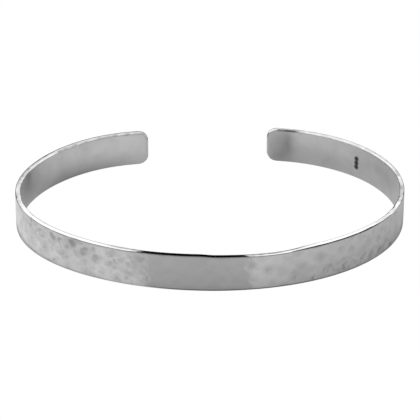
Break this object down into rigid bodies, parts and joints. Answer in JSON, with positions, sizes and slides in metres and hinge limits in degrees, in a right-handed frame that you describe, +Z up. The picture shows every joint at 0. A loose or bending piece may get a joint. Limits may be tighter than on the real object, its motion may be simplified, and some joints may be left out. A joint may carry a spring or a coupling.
{
  "type": "hammered cuff bangle",
  "caption": "Open cuff bangle of one flat metal strip bent into an oval, with a hammered outer face, a smooth inner face, rounded ends and a gap to slip it on the wrist.",
  "frame": {"origin": "middle of the footprint, on the plane of the lower edge that the cuff lies on", "axes": "+X across the cuff's widest extent, +Y through the middle of the gap between its ends, +Z up across the strip's width"},
  "size_m": [0.0626, 0.0466, 0.006],
  "materials": {
    "silver": "hammered and polished outside, satin inside"
  },
  "bodies": {
    "root": {"cuff_band": "silver"}
  },
  "joints": []
}
